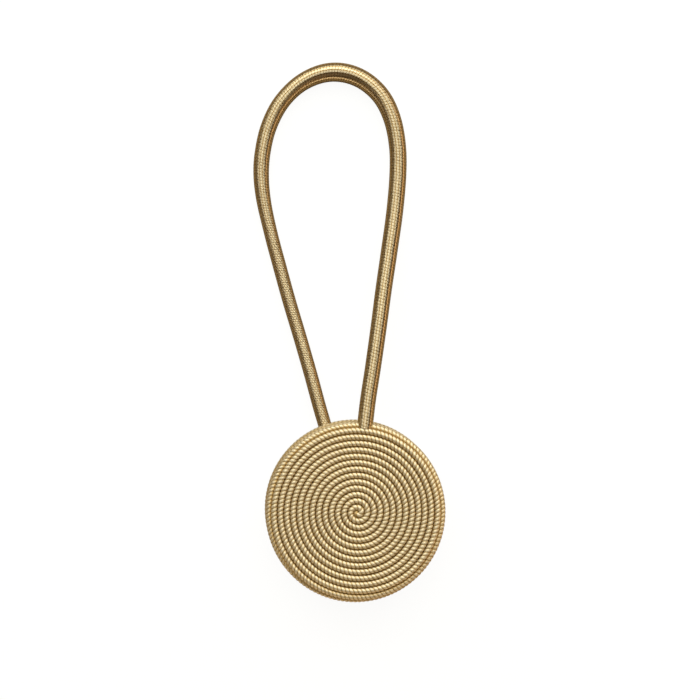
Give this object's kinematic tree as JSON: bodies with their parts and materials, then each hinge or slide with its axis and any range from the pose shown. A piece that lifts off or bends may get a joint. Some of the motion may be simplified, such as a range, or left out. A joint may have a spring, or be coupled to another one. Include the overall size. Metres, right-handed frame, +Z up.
{
  "type": "magnetic curtain tieback",
  "caption": "Magnetic curtain tieback: round buttons wound with twisted cord hold each other and carry a stiff wound rope loop that gathers a curtain.",
  "frame": {"origin": "middle of the wound face on which the back button rests", "axes": "+Z up out of the wound face of the front button, +Y from the buttons to the far end of the rope loop, +X to the right seen from above"},
  "size_m": [0.0595, 0.1664, 0.0163],
  "materials": {
    "button_cord": "satin twisted cord, champagne gold",
    "rope_cover": "satin fine cord wound round a stiff rope, champagne gold"
  },
  "bodies": {
    "root": {"disc_back": "button_cord", "disc_front": "button_cord", "rope_loop": "rope_cover"}
  },
  "joints": []
}
